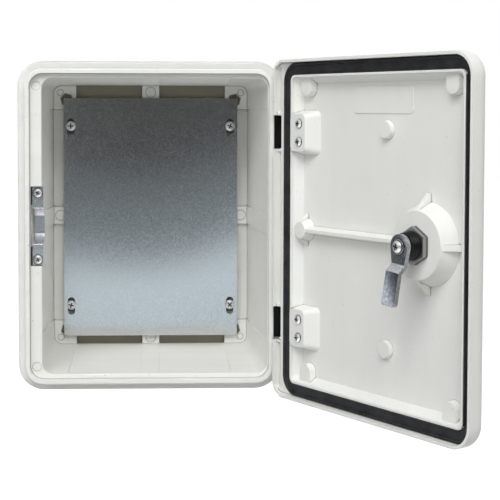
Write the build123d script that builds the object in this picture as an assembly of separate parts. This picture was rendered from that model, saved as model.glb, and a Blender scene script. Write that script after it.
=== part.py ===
"""Wall-mounted moulded electrical enclosure: hinged door, gasket, mounting plate and quarter-turn cam lock.

Millimetres. X runs to the right, Y into the wall and Z up. The origin is the middle of the back face.
Depths in this file are counted from the collar's rim: positive towards the wall, negative towards the viewer.
The door is drawn closed and swung open about its hinge axis when it is written.
"""

import math
import os

from build123d import *

# Body
BODY_W = 245.5
BODY_H = 308.0
BODY_DEPTH = 149.0
BODY_R = 24.0
TUB_WALL = 4.3
BACK_WALL = 4.0

# Collar that the door closes over, and the ledge inside it
COLLAR_INSET = 7.0
COLLAR_T = 4.5
COLLAR_RISE = 11.0
COLLAR_EDGE_R = 1.5
LEDGE_DEPTH = 6.0
LEDGE_T = 4.5
LEDGE_LATCH = 11.25
LEDGE_HINGE = 1.0
LEDGE_END = 4.5
OPENING_R = 10.0
LEDGE_MARK_R = 4.3
LEDGE_MARK_IN = 6.05
LEDGE_MARK_DROP = 11.5
LEDGE_MARK_DEPTH = 0.7
LEDGE_BEVEL = 0.8
MARK_DEPTH = 0.4

# Flange behind the collar, turned back round the tub
FLANGE_T = 8.0
FLANGE_SKIRT = 23.0
FLANGE_SKIRT_T = 3.0
FLANGE_EDGE_R = 2.5

# Cavity, drafted from behind the ledge to the pads on the floor
CAVITY_INSET_X = 12.25
CAVITY_INSET_Z = 16.0
DRAFT_X = 10.7
DRAFT_Z = 4.0
CAVITY_BACK_R = 8.0
PAD_RISE = 5.0
PANEL_SET_BACK = 0.9
PANEL_LEAD = 2.0
WINDOW_INSET = 0.3
CORNER_PAD_W = 23.1
CORNER_PAD_H = 24.3
MID_PAD_W = 17.6
MID_MARK_R = 5.6
MID_MARK_W = 0.7
MID_MARK_EDGE = 6.8

# Wall fixings and spare inserts in the floor's corners
WALL_FIX_EDGE_X = 6.8
WALL_FIX_EDGE_Z = 7.2
WALL_FIX_R = 3.25
WALL_FIX_SKIN = 1.2
WALL_FIX_MARK_W = 0.8
INSERT_EDGE_X = 13.4
INSERT_EDGE_Z = 14.7
INSERT_FLATS = 10.0
INSERT_HOLE_R = 3.0
INSERT_L = 5.8
INSERT_SINK = 0.2
INSERT_RELIEF = 1.0
INSERT_RELIEF_DEPTH = 1.5

# Mounting plate on its four posts
PLATE_MARGIN_SIDE = 10.6
PLATE_MARGIN_TOP = 13.1
PLATE_MARGIN_BOTTOM = 9.7
PLATE_T = 2.0
PLATE_GAP = 4.0
PLATE_R = 2.0
PLATE_SCREW_IN = 7.4
PLATE_SCREW_DROP = 41.7
PLATE_SLOT_L = 18.0
PLATE_SLOT_W = 7.4
PLATE_SLOT_DROP = 1.1
POST_R = 7.5
POST_INSERT_R = 4.0
POST_INSERT_L = 8.0

# Strike plate on the latch-side ledge
STRIKE_Z = 0.5
STRIKE_IN = 2.25
STRIKE_W = 10.2
STRIKE_HALF = 36.6
STRIKE_T = 2.0
STRIKE_SET_IN = 1.0
STRIKE_BOW = 17.6
STRIKE_BOW_OUTER = 16.9
STRIKE_BOW_INNER = 8.2
STRIKE_SCREW = 31.0
STRIKE_BOSS_T = 11.0
STRIKE_BOSS_END = 2.5
STRIKE_ROOM = 0.5
STRIKE_SIDE_ROOM = 1.5

# Door, as closed
DOOR_OVERLAP = 8.7
DOOR_T = 19.7
DOOR_EDGE_R = 11.0
DOOR_SKIN = 3.0
DOOR_SKIRT_T = 2.6
DOOR_FREE_R = 20.0
DOOR_HINGE_R = 12.0
LIP_INSET = 13.6
LIP_T = 2.2
LIP_TOP = 2.5
LIP_R = 5.5
LIP_EDGE_R = 0.8
LIP_SLOPE = 5.5
LIP_SLOPE_BELOW = 2.0
CHANNEL_W = 11.4
CHANNEL_FLOOR = -4.3
GASKET_CLEAR = 0.3
GASKET_BEVEL = 1.0
GASKET_RIDGE = 1.6
INNER_RIDGE_W = 1.7
OUTER_RIDGE_W = 3.2
RIDGE_LEAN = 0.7
RIDGE_GAP = 0.4
HINGE_REACH = 24.2
HINGE_TIP = 3.6
RELIEF_START = 7.0
RELIEF_RUN = 8.0
BANK_TOP = 0.9
BANK_T = 3.8
TROUGH_END = 1.6
TROUGH_CORNER = 6.0
TROUGH_R = 2.4
TROUGH_FLOOR = 0.4
TROUGH_SLOPE = 1.2

# Ribs and bosses on the door's inner side
BOSS_SINK = 0.3
CORNER_BOSS_R = 7.2
CORNER_BOSS_EDGE_X = 17.85
CORNER_BOSS_EDGE_Z = 11.9
CORNER_BOSS_BELOW = 4.0
ROUND_BOSS_R = 7.0
ROUND_BOSS_X = -11.0
ROUND_BOSS_DROP = 48.1
ROUND_BOSS_BELOW = 6.3
BOSS_TAPER = 1.1
MID_BOSS_IN = 13.2
MID_BOSS_R = 7.3
MID_BOSS_BASE_R = 10.5
MID_BOSS_BELOW = 0.7
MID_WEB_TOE = 14.5
MID_WEB_T = 3.0
RIB_CREST = 3.0
RIB_BASE = 8.0
RIB_BELOW = 1.5
LABEL_W = 75.6
LABEL_H = 23.1
LABEL_R = 5.0
LABEL_X = -4.0
LABEL_DROP = 23.4
LABEL_RISE = 0.6
LABEL_BEVEL = 0.5

# Hinges
OPEN_ANGLE = 122.0
AXIS_OUT = 3.75
AXIS_DEPTH = -7.0
HINGE_DROP = 65.5
HINGE_TALL = 30.2
NOTCH_CLEAR = 0.5
NOTCH_SHELF = 1.7
NOTCH_SHELF_CLEAR = 0.4
KNUCKLE_R = 3.4
LEAF_TALL = 28.0
LEAF_KNUCKLE = 12.0
LEAF_T = 2.0
LEAF_END = 8.0
PIN_R = 2.0
PIN_END = 0.3
RUN_FIT = 0.05
SWING_CLEAR = 0.5
LEAF_SCREW_IN = 14.15
LEAF_SCREW_STEP = 8.15
BRACKET_T = 3.2
BRACKET_TOP = 3.2
BRACKET_ARM_T = 3.6
BRACKET_SCREW_STEP = 8.0
BRACKET_SCREW_UP = 6.0
BRACKET_SCREW_L = 6.8
BRACKET_BOSS = 1.9
BLOCK_TOP_W = 20.6
BLOCK_TOP_H = 34.0
BLOCK_TOP_R = 5.0
BLOCK_BASE_W = 31.0
BLOCK_BASE_H = 40.0
BLOCK_BASE_R = 6.0
BLOCK_IN = 1.5
BLOCK_RISE = 1.0

# Lock
LOCK_BOSS_TOP = 6.5
LOCK_BOSS_R = 28.0
LOCK_BOSS_BASE_R = 34.5
LOCK_WEB_TOE = 41.5
LOCK_WEB_T = 5.0
LOCK_WEB_BELOW = 1.0
WEB_TOE_RISE = 0.6
WEB_ROOT = 0.7
BARREL_R = 11.0
BARREL_HOLE_CLEAR = 0.2
BARREL_SHORT = 0.6
THREAD_DEPTH = 0.7
THREAD_PITCH = 1.9
ESCUTCHEON_R = 14.5
ESCUTCHEON_T = 3.0
ESCUTCHEON_BEVEL = 1.5
SEAL_T = 1.2
SEAL_IN = 0.7
NUT_FLATS = 27.0
NUT_T = 5.0
ROTOR_R = 6.5
ROTOR_PROUD = 0.4
ROTOR_SQUARE = 8.0
SQUARE_CLEAR = 0.05
KEY_R = 5.0
KEY_POST_R = 1.8
KEY_BIT = 3.0
KEY_BIT_T = 1.8
KEY_DEPTH = 9.0
CAM_T = 3.5
CAM_HEAD_R = 10.0
CAM_REACH = 47.5
CAM_TIP_CLEAR = 1.0
CAM_TIP_R = 2.5
CAM_STRIKE_CLEAR = 1.6
CAM_BLADE_W = 15.0
CAM_CRANK = 5.5
CAM_NECK = 14.0
CAM_BEND = 20.0
CAM_MITRE = 1.4
CAM_TILT = 5.3
CAM_NECK_ANGLE = 20.0
CAM_REST_LEAN = 4.8
CAM_WASHER_R = 6.0
CAM_WASHER_T = 1.0

# Screws
M4_R = 1.9
M4_HEAD_R = 4.0
M4_HEAD_H = 2.2
M4_L = 8.0
HINGE_SCREW_R = 2.0
HINGE_SCREW_HEAD_R = 4.2
M5_R = 2.5
M5_HEAD_R = 4.9
M5_HEAD_H = 3.0
M5_L = 8.0

# Fits shared by several pieces
HOLE_CLEAR = 0.1
SEAT_CLEAR = 0.1
SCREW_PASS = 0.3
OVERRUN = 1.0

RIM = -BODY_DEPTH
FRONT = DOOR_OVERLAP - DOOR_T
PANEL = FRONT + DOOR_SKIN
LEDGE_BACK = LEDGE_DEPTH + LEDGE_T
PAD = BODY_DEPTH - BACK_WALL - PAD_RISE
RECESS = PAD + PAD_RISE
PLATE_BACK = PAD - PLATE_GAP
PLATE_FRONT = PLATE_BACK - PLATE_T
COLLAR_HALF_X = BODY_W / 2 - COLLAR_INSET
COLLAR_HALF_Z = BODY_H / 2 - COLLAR_INSET
MOUTH_HALF_X = COLLAR_HALF_X - COLLAR_T
MOUTH_HALF_Z = COLLAR_HALF_Z - COLLAR_T
CAVITY_HALF_X = BODY_W / 2 - CAVITY_INSET_X
CAVITY_HALF_Z = BODY_H / 2 - CAVITY_INSET_Z
FLOOR_HALF_X = CAVITY_HALF_X - DRAFT_X
FLOOR_HALF_Z = CAVITY_HALF_Z - DRAFT_Z
LATCH_LEDGE_X = -MOUTH_HALF_X + LEDGE_LATCH
STRIKE_X0 = -MOUTH_HALF_X + STRIKE_IN
STRIKE_X1 = STRIKE_X0 + STRIKE_W
STRIKE_MID_X = (STRIKE_X0 + STRIKE_X1) / 2
STRIKE_FACE = LEDGE_DEPTH + STRIKE_SET_IN
STRIKE_SEAT = STRIKE_FACE + STRIKE_T
PLATE_HALF_X = FLOOR_HALF_X - PLATE_MARGIN_SIDE
PLATE_TOP = FLOOR_HALF_Z - PLATE_MARGIN_TOP
PLATE_BOTTOM = -FLOOR_HALF_Z + PLATE_MARGIN_BOTTOM
PLATE_SCREW_X = PLATE_HALF_X - PLATE_SCREW_IN
PLATE_SCREW_Z = FLOOR_HALF_Z - PLATE_SCREW_DROP
LIP_HALF_X = BODY_W / 2 - LIP_INSET
LIP_HALF_Z = BODY_H / 2 - LIP_INSET
CHANNEL_R = DOOR_FREE_R - DOOR_SKIRT_T
DOOR_FREE_X = -LIP_HALF_X - CHANNEL_W - DOOR_SKIRT_T
DOOR_HINGE_X = LIP_HALF_X + HINGE_REACH
DOOR_HALF_Z = LIP_HALF_Z + CHANNEL_W + DOOR_SKIRT_T
AXIS_X = BODY_W / 2 + AXIS_OUT
HINGE_Z = BODY_H / 2 - HINGE_DROP
NOTCH_HALF = HINGE_TALL / 2 + NOTCH_CLEAR
LEAF_SCREW_X = LIP_HALF_X - LEAF_SCREW_IN
BLOCK_TOP = LIP_TOP + BLOCK_RISE
BRACKET_SCREW_DEPTH = COLLAR_RISE + FLANGE_SKIRT - BRACKET_SCREW_UP
BLADE_RISE = (CAM_REACH - CAM_BEND) * math.tan(math.radians(CAM_TILT))
STRIKE_RISE = BLADE_RISE * (CAM_REACH - CAM_BEND - STRIKE_W) / (CAM_REACH - CAM_BEND)
CAM_FRONT = STRIKE_SEAT + STRIKE_BOW + CAM_STRIKE_CLEAR - CAM_CRANK - STRIKE_RISE
CAM_BACK = CAM_FRONT + CAM_T
BARREL_END = CAM_FRONT - BARREL_SHORT
BLADE_BACK = CAM_BACK + CAM_CRANK + BLADE_RISE
WALL_AT_BLADE = CAVITY_HALF_X - DRAFT_X * (BLADE_BACK - LEDGE_BACK) / (PAD - LEDGE_BACK)
LOCK_X = -WALL_AT_BLADE + CAM_TIP_CLEAR + CAM_REACH
LOCK_Z = STRIKE_Z
CORNERS = [(sx, sz) for sx in (-1, 1) for sz in (-1, 1)]


def at(depth):
    """Y of a depth counted from the collar's rim."""
    return RIM + depth


def facing(depth):
    """The X and Z plane at a depth, seen from the front."""
    return Plane(origin=(0, at(depth), 0), x_dir=(1, 0, 0), z_dir=(0, -1, 0))


def prism(outline, start, end):
    """A sketch in X and Z drawn out between two depths."""
    return extrude(facing(end) * outline, end - start)


def block(x0, x1, z0, z1, start, end):
    """A plain box between two depths."""
    outline = Pos((x0 + x1) / 2, (z0 + z1) / 2) * Rectangle(abs(x1 - x0), abs(z1 - z0))
    return prism(outline, start, end)


def rounded(half_x, half_z, radius):
    """A rounded rectangle about the middle."""
    return RectangleRounded(2 * half_x, 2 * half_z, radius)


def tapered(front, start, back, end):
    """A straight-sided solid between two outlines at two depths."""
    return loft([facing(start) * front, facing(end) * back], ruled=True)


def peg(x, z, radius, start, end):
    """A round bar along Y between two depths."""
    return prism(Pos(x, z) * Circle(radius), start, end)


def ring(x, z, outer_r, inner_r, start, end):
    """A round sleeve along Y between two depths."""
    return prism(Pos(x, z) * (Circle(outer_r) - Circle(inner_r)), start, end)


def frustum(x, z, base_r, top_r, base, top):
    """A round boss that narrows from its base depth to its top depth."""
    return Pos(x, at((base + top) / 2), z) * Rot(-90, 0, 0) * Cone(base_r, top_r, top - base)


def upright(x, depth, z, radius, height):
    """A round bar along Z."""
    return Pos(x, at(depth), z) * Cylinder(radius, height)


def side_bar(x0, x1, depth, z, radius):
    """A round bar along X."""
    return Pos((x0 + x1) / 2, at(depth), z) * Rot(0, 90, 0) * Cylinder(radius, x1 - x0)


def joined(pieces):
    """All the pieces of a list as one shape."""
    whole = pieces[0]
    for piece in pieces[1:]:
        whole += piece
    return whole


def pan_screw(shank_r, head_r, head_h, shank_l):
    """A cross-recess pan-head screw: the head's seat at the origin, the shank along +Z."""
    profile = [(0, -head_h), (head_r * 0.62, -head_h), (head_r, -head_h * 0.45), (head_r, 0), (shank_r, 0),
               (shank_r, shank_l), (0, shank_l)]
    outline = make_face(Polyline(*[(r, 0, z) for r, z in profile], close=True))
    slot = Box(head_r * 1.1, head_r * 0.26, head_h)
    cross = Pos(0, 0, -head_h) * (slot + Rot(0, 0, 90) * slot)
    return revolve(outline, Axis.Z) - cross


def driven(screw, x, depth, z, turn, towards_wall=True):
    """A screw set at a place, with its shank towards the wall or towards the viewer."""
    lay = Rot(-90, 0, 0) if towards_wall else Rot(90, 0, 0)
    return Pos(x, at(depth), z) * lay * Rot(0, 0, turn) * screw


def cavity():
    """The drafted hollow of the tub, down to the pads."""
    front = rounded(CAVITY_HALF_X, CAVITY_HALF_Z, OPENING_R)
    back = rounded(FLOOR_HALF_X, FLOOR_HALF_Z, CAVITY_BACK_R)
    return tapered(front, LEDGE_BACK, back, PAD)


def wall_panels():
    """Shallow panels between the corner columns and mid ribs, running into the floor's windows."""
    front = rounded(CAVITY_HALF_X + PANEL_SET_BACK, CAVITY_HALF_Z + PANEL_SET_BACK, OPENING_R)
    back = rounded(FLOOR_HALF_X + PANEL_SET_BACK, FLOOR_HALF_Z - WINDOW_INSET, CAVITY_BACK_R)
    hollow = tapered(front, LEDGE_BACK + PANEL_LEAD, back, RECESS)
    pad_x = FLOOR_HALF_X - CORNER_PAD_W
    pad_z = FLOOR_HALF_Z - CORNER_PAD_H
    keep = [block(-pad_x, pad_x, -pad_z, pad_z, PAD - OVERRUN, RECESS)]
    for sx, sz in CORNERS:
        rib_x = sx * MID_PAD_W / 2
        rib_z = sz * MID_PAD_W / 2
        keep.append(block(rib_x, sx * pad_x, sz * pad_z * 0.9, sz * BODY_H / 2, 0, RECESS))
        keep.append(block(sx * pad_x * 0.9, sx * BODY_W / 2, rib_z, sz * pad_z, 0, RECESS))
    return hollow & joined(keep)


def tub():
    """Collar, flange and drafted tub as one moulding, before its fittings."""
    collar = prism(rounded(COLLAR_HALF_X, COLLAR_HALF_Z, BODY_R - COLLAR_INSET), 0, COLLAR_RISE + OVERRUN)
    collar = fillet(collar.edges().group_by(Axis.Y)[0], COLLAR_EDGE_R)
    flange_end = COLLAR_RISE + FLANGE_SKIRT
    flange = prism(rounded(BODY_W / 2, BODY_H / 2, BODY_R), COLLAR_RISE, flange_end)
    flange = fillet(flange.edges().group_by(Axis.Y)[0], FLANGE_EDGE_R)
    inner = rounded(BODY_W / 2 - FLANGE_SKIRT_T, BODY_H / 2 - FLANGE_SKIRT_T, BODY_R - FLANGE_SKIRT_T)
    flange -= prism(inner, COLLAR_RISE + FLANGE_T, flange_end + OVERRUN)
    front = rounded(CAVITY_HALF_X + TUB_WALL, CAVITY_HALF_Z + TUB_WALL, OPENING_R + TUB_WALL)
    back = rounded(FLOOR_HALF_X + TUB_WALL, FLOOR_HALF_Z + TUB_WALL, CAVITY_BACK_R + TUB_WALL)
    return collar + flange + tapered(front, COLLAR_RISE, back, BODY_DEPTH)


def mouth():
    """The space inside the collar and the opening through the ledge."""
    rim = prism(rounded(MOUTH_HALF_X, MOUTH_HALF_Z, BODY_R - COLLAR_INSET - COLLAR_T), -OVERRUN, LEDGE_DEPTH)
    right = MOUTH_HALF_X - LEDGE_HINGE
    wide = right - LATCH_LEDGE_X
    middle = Pos((right + LATCH_LEDGE_X) / 2, 0)
    tall = 2 * (MOUTH_HALF_Z - LEDGE_END)
    opening = middle * RectangleRounded(wide, tall, OPENING_R)
    edge = 2 * LEDGE_BEVEL
    flare = middle * RectangleRounded(wide + edge, tall + edge, OPENING_R + LEDGE_BEVEL)
    bevel = tapered(flare, LEDGE_DEPTH, opening, LEDGE_DEPTH + LEDGE_BEVEL)
    return rim + prism(opening, LEDGE_DEPTH - OVERRUN, LEDGE_BACK + OVERRUN) + bevel


def bracket_grounds():
    """Solid ground behind the flange for the screws of the hinge brackets."""
    half = HINGE_TALL / 2 + BRACKET_BOSS
    start = COLLAR_RISE + FLANGE_T - OVERRUN
    inner_x = CAVITY_HALF_X + PANEL_SET_BACK + 0.5
    return [block(inner_x, BODY_W / 2, side * HINGE_Z - half, side * HINGE_Z + half, start,
                  COLLAR_RISE + FLANGE_SKIRT) for side in (1, -1)]


def strike_ground():
    """The thick part of the latch-side ledge that carries the strike plate."""
    half = STRIKE_HALF + STRIKE_BOSS_END
    wall = -CAVITY_HALF_X - PANEL_SET_BACK - 1.0
    return block(wall, LATCH_LEDGE_X, STRIKE_Z - half, STRIKE_Z + half, LEDGE_DEPTH,
                 LEDGE_DEPTH + STRIKE_BOSS_T)


def strike_cuts():
    """Recess for the strike plate, a notch for its bow and two screw holes."""
    left = STRIKE_X0 - STRIKE_SIDE_ROOM
    right = max(STRIKE_X1, LATCH_LEDGE_X) + OVERRUN
    half = STRIKE_HALF + STRIKE_ROOM
    notch = STRIKE_BOW_OUTER + STRIKE_T + STRIKE_ROOM
    bow_end = STRIKE_SEAT + STRIKE_BOW + STRIKE_ROOM
    hole_end = STRIKE_FACE + M4_L + HOLE_CLEAR
    cuts = block(left, right, STRIKE_Z - half, STRIKE_Z + half, LEDGE_DEPTH - OVERRUN, STRIKE_SEAT)
    cuts += block(left, right, STRIKE_Z - notch, STRIKE_Z + notch, STRIKE_SEAT - OVERRUN, bow_end)
    for side in (1, -1):
        z = STRIKE_Z + side * STRIKE_SCREW
        cuts += peg(STRIKE_MID_X, z, M4_R + HOLE_CLEAR, STRIKE_SEAT - OVERRUN, hole_end)
    return cuts


def insert_outline(sx, sz, grow):
    """The hexagon of a corner insert, with one flat towards the corner."""
    x, z = sx * (FLOOR_HALF_X - INSERT_EDGE_X), sz * (FLOOR_HALF_Z - INSERT_EDGE_Z)
    hexagon = RegularPolygon(INSERT_FLATS / 2 + grow, 6, major_radius=False, rotation=15 * sx * sz)
    return Pos(x, z) * hexagon


def corner_cuts(sx, sz):
    """Knock-out, insert bore and post bore of one floor corner."""
    x, z = sx * (FLOOR_HALF_X - WALL_FIX_EDGE_X), sz * (FLOOR_HALF_Z - WALL_FIX_EDGE_Z)
    inner_r = WALL_FIX_R - WALL_FIX_MARK_W / 2
    cuts = [peg(x, z, WALL_FIX_R, PAD + WALL_FIX_SKIN, BODY_DEPTH + OVERRUN),
            ring(x, z, inner_r + WALL_FIX_MARK_W, inner_r, PAD - OVERRUN, PAD + MARK_DEPTH)]
    cuts.append(prism(insert_outline(sx, sz, SEAT_CLEAR), PAD - OVERRUN, PAD + INSERT_SINK + INSERT_L))
    cuts.append(prism(insert_outline(sx, sz, INSERT_RELIEF), PAD - OVERRUN, PAD + INSERT_RELIEF_DEPTH))
    x, z = sx * PLATE_SCREW_X, sz * PLATE_SCREW_Z
    bore_end = PLATE_BACK + SEAT_CLEAR + POST_INSERT_L
    cuts.append(peg(x, z, POST_INSERT_R + SEAT_CLEAR, PLATE_BACK - OVERRUN, bore_end))
    return cuts


def moulding_marks():
    """Round marks on the mid pads and on the latch-side ledge."""
    side_x = FLOOR_HALF_X - MID_MARK_EDGE
    end_z = FLOOR_HALF_Z - MID_MARK_EDGE
    inner_r = MID_MARK_R - MID_MARK_W
    marks = [ring(x, z, MID_MARK_R, inner_r, PAD - OVERRUN, PAD + MARK_DEPTH)
             for x, z in ((0, end_z), (0, -end_z), (-side_x, 0), (side_x, 0))]
    ledge_x = -MOUTH_HALF_X + LEDGE_MARK_IN
    ledge_z = MOUTH_HALF_Z - LEDGE_MARK_DROP
    mark_floor = LEDGE_DEPTH + LEDGE_MARK_DEPTH
    marks += [peg(ledge_x, side * ledge_z, LEDGE_MARK_R, LEDGE_DEPTH - OVERRUN, mark_floor)
              for side in (1, -1)]
    return marks


def bracket_screw_heights():
    return [side * HINGE_Z + step * BRACKET_SCREW_STEP for side in (1, -1) for step in (-1, 1)]


def make_body():
    body = tub() - mouth() - cavity() - wall_panels()
    for ground in bracket_grounds():
        body += ground
    body += strike_ground()
    for sx, sz in CORNERS:
        body += peg(sx * PLATE_SCREW_X, sz * PLATE_SCREW_Z, POST_R, PLATE_BACK, RECESS + OVERRUN)
    body -= strike_cuts()
    for sx, sz in CORNERS:
        for cut in corner_cuts(sx, sz):
            body -= cut
    for mark in moulding_marks():
        body -= mark
    hole_end = BODY_W / 2 - BRACKET_SCREW_L - HOLE_CLEAR
    for z in bracket_screw_heights():
        body -= side_bar(hole_end, BODY_W / 2 + OVERRUN, BRACKET_SCREW_DEPTH, z, HINGE_SCREW_R + HOLE_CLEAR)
    return body


def make_mounting_plate():
    outline = RectangleRounded(2 * PLATE_HALF_X, PLATE_TOP - PLATE_BOTTOM, PLATE_R)
    plate = prism(Pos(0, (PLATE_TOP + PLATE_BOTTOM) / 2) * outline, PLATE_FRONT, PLATE_BACK)
    slot = Rot(0, 0, 90) * SlotOverall(PLATE_SLOT_L, PLATE_SLOT_W)
    for sx, sz in CORNERS:
        place = Pos(sx * PLATE_SCREW_X, sz * PLATE_SCREW_Z - PLATE_SLOT_DROP)
        plate -= prism(place * slot, PLATE_FRONT - OVERRUN, PLATE_BACK + OVERRUN)
    return plate


def make_plate_screws():
    screw = pan_screw(M5_R, M5_HEAD_R, M5_HEAD_H, M5_L)
    turns = {(-1, 1): 0, (1, 1): 20, (-1, -1): 15, (1, -1): 45}
    return [driven(screw, sx * PLATE_SCREW_X, PLATE_FRONT, sz * PLATE_SCREW_Z, turn)
            for (sx, sz), turn in turns.items()]


def make_plate_inserts():
    start = PLATE_BACK + SEAT_CLEAR
    return [ring(sx * PLATE_SCREW_X, sz * PLATE_SCREW_Z, POST_INSERT_R, M5_R + HOLE_CLEAR, start,
                 start + POST_INSERT_L) for sx, sz in CORNERS]


def make_corner_inserts():
    start = PAD + INSERT_SINK
    end = start + INSERT_L
    x, z = FLOOR_HALF_X - INSERT_EDGE_X, FLOOR_HALF_Z - INSERT_EDGE_Z
    return [prism(insert_outline(sx, sz, 0), start, end)
            - peg(sx * x, sz * z, INSERT_HOLE_R, start - OVERRUN, end + OVERRUN) for sx, sz in CORNERS]


def make_strike_plate():
    """A strip bowed inwards at its middle, where the cam swings behind it."""
    run = STRIKE_BOW_OUTER - STRIKE_BOW_INNER
    mitre = STRIKE_T * math.tan(math.atan2(STRIKE_BOW, run) / 2)
    near = [(STRIKE_HALF, STRIKE_FACE), (STRIKE_BOW_OUTER, STRIKE_FACE),
            (STRIKE_BOW_INNER, STRIKE_FACE + STRIKE_BOW)]
    far = [(STRIKE_HALF, STRIKE_SEAT), (STRIKE_BOW_OUTER + mitre, STRIKE_SEAT),
           (STRIKE_BOW_INNER + mitre, STRIKE_SEAT + STRIKE_BOW)]
    near += [(-z, depth) for z, depth in reversed(near)]
    far += [(-z, depth) for z, depth in reversed(far)]
    strike = side_profile([(depth, STRIKE_Z + z) for z, depth in near + far[::-1]], STRIKE_X0, STRIKE_W)
    for side in (1, -1):
        z = STRIKE_Z + side * STRIKE_SCREW
        strike -= peg(STRIKE_MID_X, z, M4_R + SCREW_PASS, STRIKE_FACE - OVERRUN, STRIKE_SEAT + OVERRUN)
    return strike


def side_profile(points, x, wide):
    """A profile of depth and height pairs drawn out along X."""
    outline = make_face(Polyline(*[(at(depth), z) for depth, z in points], close=True))
    plane = Plane(origin=(x, 0, 0), x_dir=(0, 1, 0), z_dir=(1, 0, 0))
    return extrude(plane * outline, wide)


def make_strike_screws():
    screw = pan_screw(M4_R, M4_HEAD_R, M4_HEAD_H, M4_L)
    return [driven(screw, STRIKE_MID_X, STRIKE_FACE, STRIKE_Z + side * STRIKE_SCREW, 30 * side)
            for side in (1, -1)]


def hinge_bracket(z):
    """Black bracket on the flange: a leg, a block on the shoulder and two knuckles round the pin."""
    side_x = BODY_W / 2
    low, high = z - HINGE_TALL / 2, z + HINGE_TALL / 2
    outer_x = side_x + BRACKET_T
    bracket = block(side_x, outer_x, low, high, BRACKET_TOP, COLLAR_RISE + FLANGE_SKIRT - SWING_CLEAR)
    bracket += block(COLLAR_HALF_X + SWING_CLEAR, outer_x, low, high, BRACKET_TOP, COLLAR_RISE)
    tall = (HINGE_TALL - LEAF_KNUCKLE) / 2 - SWING_CLEAR
    arm_x0, arm_x1 = AXIS_X - BRACKET_ARM_T / 2, AXIS_X + BRACKET_ARM_T / 2
    for side in (1, -1):
        mid = z + side * (HINGE_TALL - tall) / 2
        arm = block(arm_x0, arm_x1, mid - tall / 2, mid + tall / 2, AXIS_DEPTH, BRACKET_TOP + OVERRUN)
        arm += block(side_x, arm_x1, mid - tall / 2, mid + tall / 2, BRACKET_TOP, COLLAR_RISE - BRACKET_T)
        bracket += arm + upright(AXIS_X, AXIS_DEPTH, mid, KNUCKLE_R, tall)
    bracket -= upright(AXIS_X, AXIS_DEPTH, z, PIN_R + RUN_FIT, HINGE_TALL + OVERRUN)
    for step in (-1, 1):
        hole_z = z + step * BRACKET_SCREW_STEP
        bracket -= side_bar(side_x - OVERRUN, outer_x + OVERRUN, BRACKET_SCREW_DEPTH, hole_z,
                            HINGE_SCREW_R + SCREW_PASS)
    return bracket


def make_bracket_screws():
    screw = pan_screw(HINGE_SCREW_R, M4_HEAD_R, M4_HEAD_H, BRACKET_T + BRACKET_SCREW_L)
    seat = BODY_W / 2 + BRACKET_T
    return [Pos(seat, at(BRACKET_SCREW_DEPTH), z) * Rot(0, -90, 0) * screw for z in bracket_screw_heights()]


def hinge_pin(z):
    return upright(AXIS_X, AXIS_DEPTH, z, PIN_R, HINGE_TALL + 2 * PIN_END)


def leaf_screw_heights(z):
    return [z - LEAF_SCREW_STEP, z + LEAF_SCREW_STEP]


def hinge_leaf(z):
    """Black leaf that slides under the gasket channel into the hinge block, with one knuckle."""
    start = PANEL + RUN_FIT
    end = start + LEAF_T
    neck = AXIS_X - KNUCKLE_R - NOTCH_CLEAR - OVERRUN
    plate = block(LEAF_SCREW_X - LEAF_END, neck, z - LEAF_TALL / 2, z + LEAF_TALL / 2, start, end)
    plate += block(neck - OVERRUN, AXIS_X, z - LEAF_KNUCKLE / 2, z + LEAF_KNUCKLE / 2, start, end)
    leaf = plate + upright(AXIS_X, AXIS_DEPTH, z, KNUCKLE_R, LEAF_KNUCKLE)
    leaf -= upright(AXIS_X, AXIS_DEPTH, z, PIN_R + RUN_FIT, LEAF_KNUCKLE + OVERRUN)
    for hole_z in leaf_screw_heights(z):
        leaf -= peg(LEAF_SCREW_X, hole_z, HINGE_SCREW_R + HOLE_CLEAR, start - OVERRUN, end + OVERRUN)
    return leaf


def make_leaf_screws():
    screw = pan_screw(HINGE_SCREW_R, HINGE_SCREW_HEAD_R, M4_HEAD_H, BLOCK_TOP - PANEL - HOLE_CLEAR)
    places = [z for side in (1, -1) for z in leaf_screw_heights(side * HINGE_Z)]
    return [driven(screw, LEAF_SCREW_X, BLOCK_TOP, z, z, towards_wall=False) for z in places]


def door_outline(inset):
    """The door's outer edge, with wide corners at the free side and tight ones at the hinge side."""
    wide = DOOR_HINGE_X - DOOR_FREE_X - 2 * inset
    sheet = Pos((DOOR_HINGE_X + DOOR_FREE_X) / 2, 0) * Rectangle(wide, 2 * (DOOR_HALF_Z - inset))
    sheet = fillet(sheet.vertices().group_by(Axis.X)[0], DOOR_FREE_R - inset)
    return fillet(sheet.vertices().group_by(Axis.X)[-1], DOOR_HINGE_R - inset)


def lip_outline(grow, radius):
    return rounded(LIP_HALF_X + grow, LIP_HALF_Z + grow, radius)


def door_shell():
    """Skin, skirt, gasket channel and lip."""
    shell = prism(door_outline(0), FRONT, DOOR_OVERLAP)
    shell = fillet(shell.edges().group_by(Axis.Y)[0], DOOR_EDGE_R)
    shell -= prism(door_outline(DOOR_SKIRT_T), CHANNEL_FLOOR, DOOR_OVERLAP + OVERRUN)
    lip = prism(lip_outline(0, LIP_R), CHANNEL_FLOOR - OVERRUN, LIP_TOP)
    lip = fillet(lip.edges().group_by(Axis.Y)[-1], LIP_EDGE_R)
    bank = prism(door_outline(DOOR_SKIRT_T), CHANNEL_FLOOR - OVERRUN, BANK_TOP)
    bank -= prism(lip_outline(CHANNEL_W, CHANNEL_R), CHANNEL_FLOOR - 2 * OVERRUN, LIP_TOP)
    bank &= block(0, DOOR_HINGE_X, -BODY_H, BODY_H, CHANNEL_FLOOR - 2 * OVERRUN, LIP_TOP)
    shell += lip + bank
    shell -= tray()
    for trough in troughs():
        shell -= trough
    return shell - hinge_side_relief()


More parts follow.
